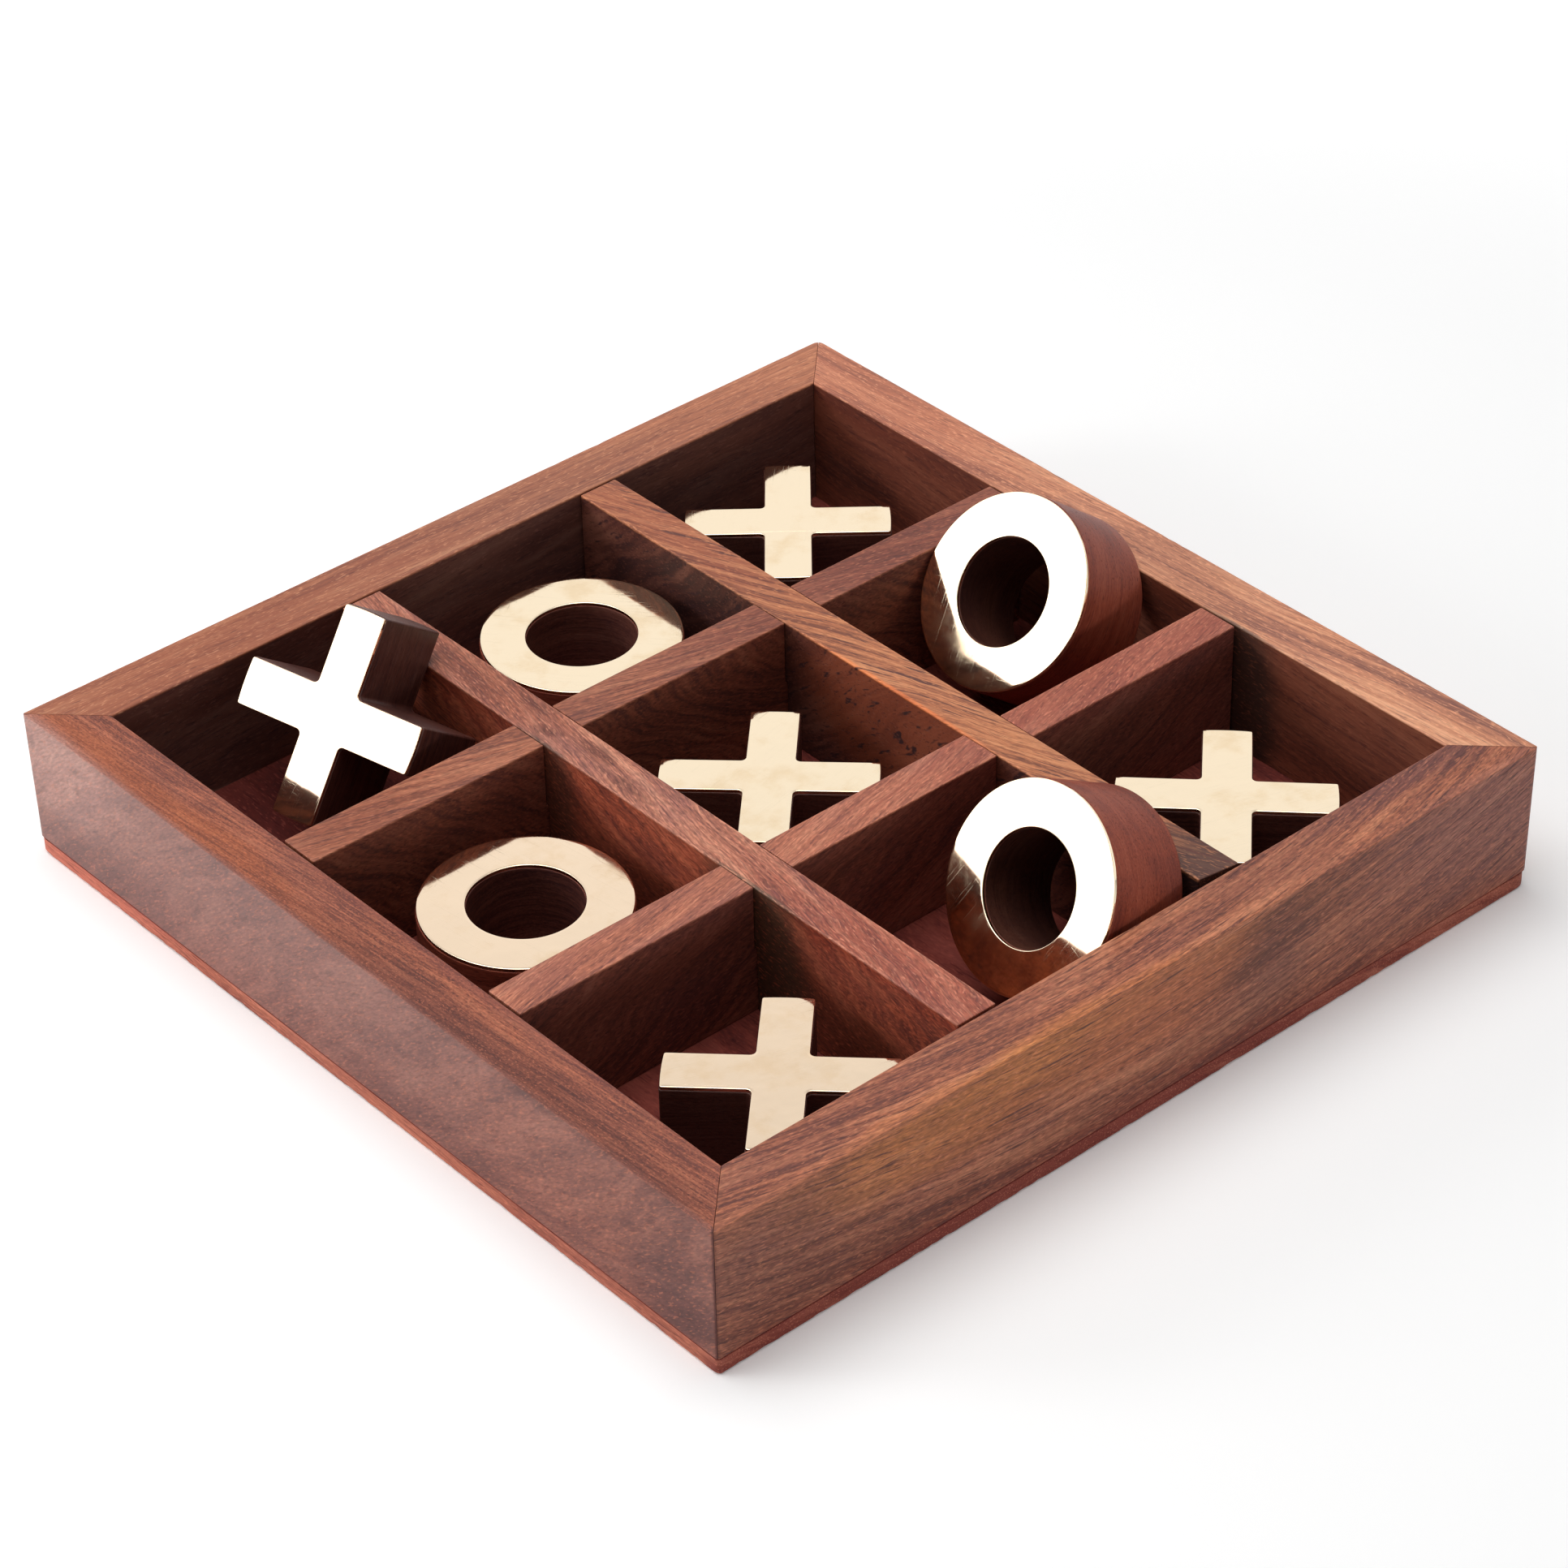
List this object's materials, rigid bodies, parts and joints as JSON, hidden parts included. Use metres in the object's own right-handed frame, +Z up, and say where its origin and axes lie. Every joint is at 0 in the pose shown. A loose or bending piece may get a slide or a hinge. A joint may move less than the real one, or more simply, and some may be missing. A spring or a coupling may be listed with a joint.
{
  "type": "tic-tac-toe board",
  "caption": "Square dark hardwood board with a low mitred frame, half-lapped dividers that make a grid of cells, and loose wooden crosses and rings faced with brass.",
  "frame": {"origin": "middle of the underside of the base panel, on the surface that the board stands on", "axes": "+Z up. -Y is the front, the side at the lower left of the picture, and +X is the right, the side at the lower right"},
  "size_m": [0.165, 0.165, 0.0402],
  "materials": {
    "panel": "satin lacquer on dark reddish hardwood",
    "rail": "satin lacquer on streaked reddish brown hardwood",
    "divider": "satin lacquer on streaked reddish brown hardwood",
    "piece_wood": "semi-gloss lacquer on dark hardwood",
    "brass": "polished, with faint hairline scratches"
  },
  "bodies": {
    "board": {"base_panel": "panel", "front_rail": "rail", "right_rail": "rail", "back_rail": "rail", "left_rail": "rail", "front_divider": "divider", "back_divider": "divider", "left_divider": "divider", "right_divider": "divider"},
    "cross_front_left": {"cross_front_left_wood": "piece_wood", "cross_front_left_brass": "brass"},
    "ring_front_centre": {"ring_front_centre_wood": "piece_wood", "ring_front_centre_brass": "brass"},
    "cross_front_right": {"cross_front_right_wood": "piece_wood", "cross_front_right_brass": "brass"},
    "ring_middle_left": {"ring_middle_left_wood": "piece_wood", "ring_middle_left_brass": "brass"},
    "cross_centre": {"cross_centre_wood": "piece_wood", "cross_centre_brass": "brass"},
    "ring_middle_right": {"ring_middle_right_wood": "piece_wood", "ring_middle_right_brass": "brass"},
    "cross_back_left": {"cross_back_left_wood": "piece_wood", "cross_back_left_brass": "brass"},
    "ring_back_centre": {"ring_back_centre_wood": "piece_wood", "ring_back_centre_brass": "brass"},
    "cross_back_right": {"cross_back_right_wood": "piece_wood", "cross_back_right_brass": "brass"}
  },
  "joints": [
    {"name": "cross_front_left_lift", "type": "slide", "parent": "board", "child": "cross_front_left", "axis": [0, 0, 1], "range_m": [0, 0.03]},
    {"name": "ring_front_centre_lift", "type": "slide", "parent": "board", "child": "ring_front_centre", "axis": [0, 0, 1], "range_m": [0, 0.03]},
    {"name": "cross_front_right_lift", "type": "slide", "parent": "board", "child": "cross_front_right", "axis": [0, 0, 1], "range_m": [0, 0.03]},
    {"name": "ring_middle_left_lift", "type": "slide", "parent": "board", "child": "ring_middle_left", "axis": [0, 0, 1], "range_m": [0, 0.03]},
    {"name": "cross_centre_lift", "type": "slide", "parent": "board", "child": "cross_centre", "axis": [0, 0, 1], "range_m": [0, 0.03]},
    {"name": "ring_middle_right_lift", "type": "slide", "parent": "board", "child": "ring_middle_right", "axis": [0, 0, 1], "range_m": [0, 0.03]},
    {"name": "cross_back_left_lift", "type": "slide", "parent": "board", "child": "cross_back_left", "axis": [0, 0, 1], "range_m": [0, 0.03]},
    {"name": "ring_back_centre_lift", "type": "slide", "parent": "board", "child": "ring_back_centre", "axis": [0, 0, 1], "range_m": [0, 0.03]},
    {"name": "cross_back_right_lift", "type": "slide", "parent": "board", "child": "cross_back_right", "axis": [0, 0, 1], "range_m": [0, 0.03]}
  ]
}
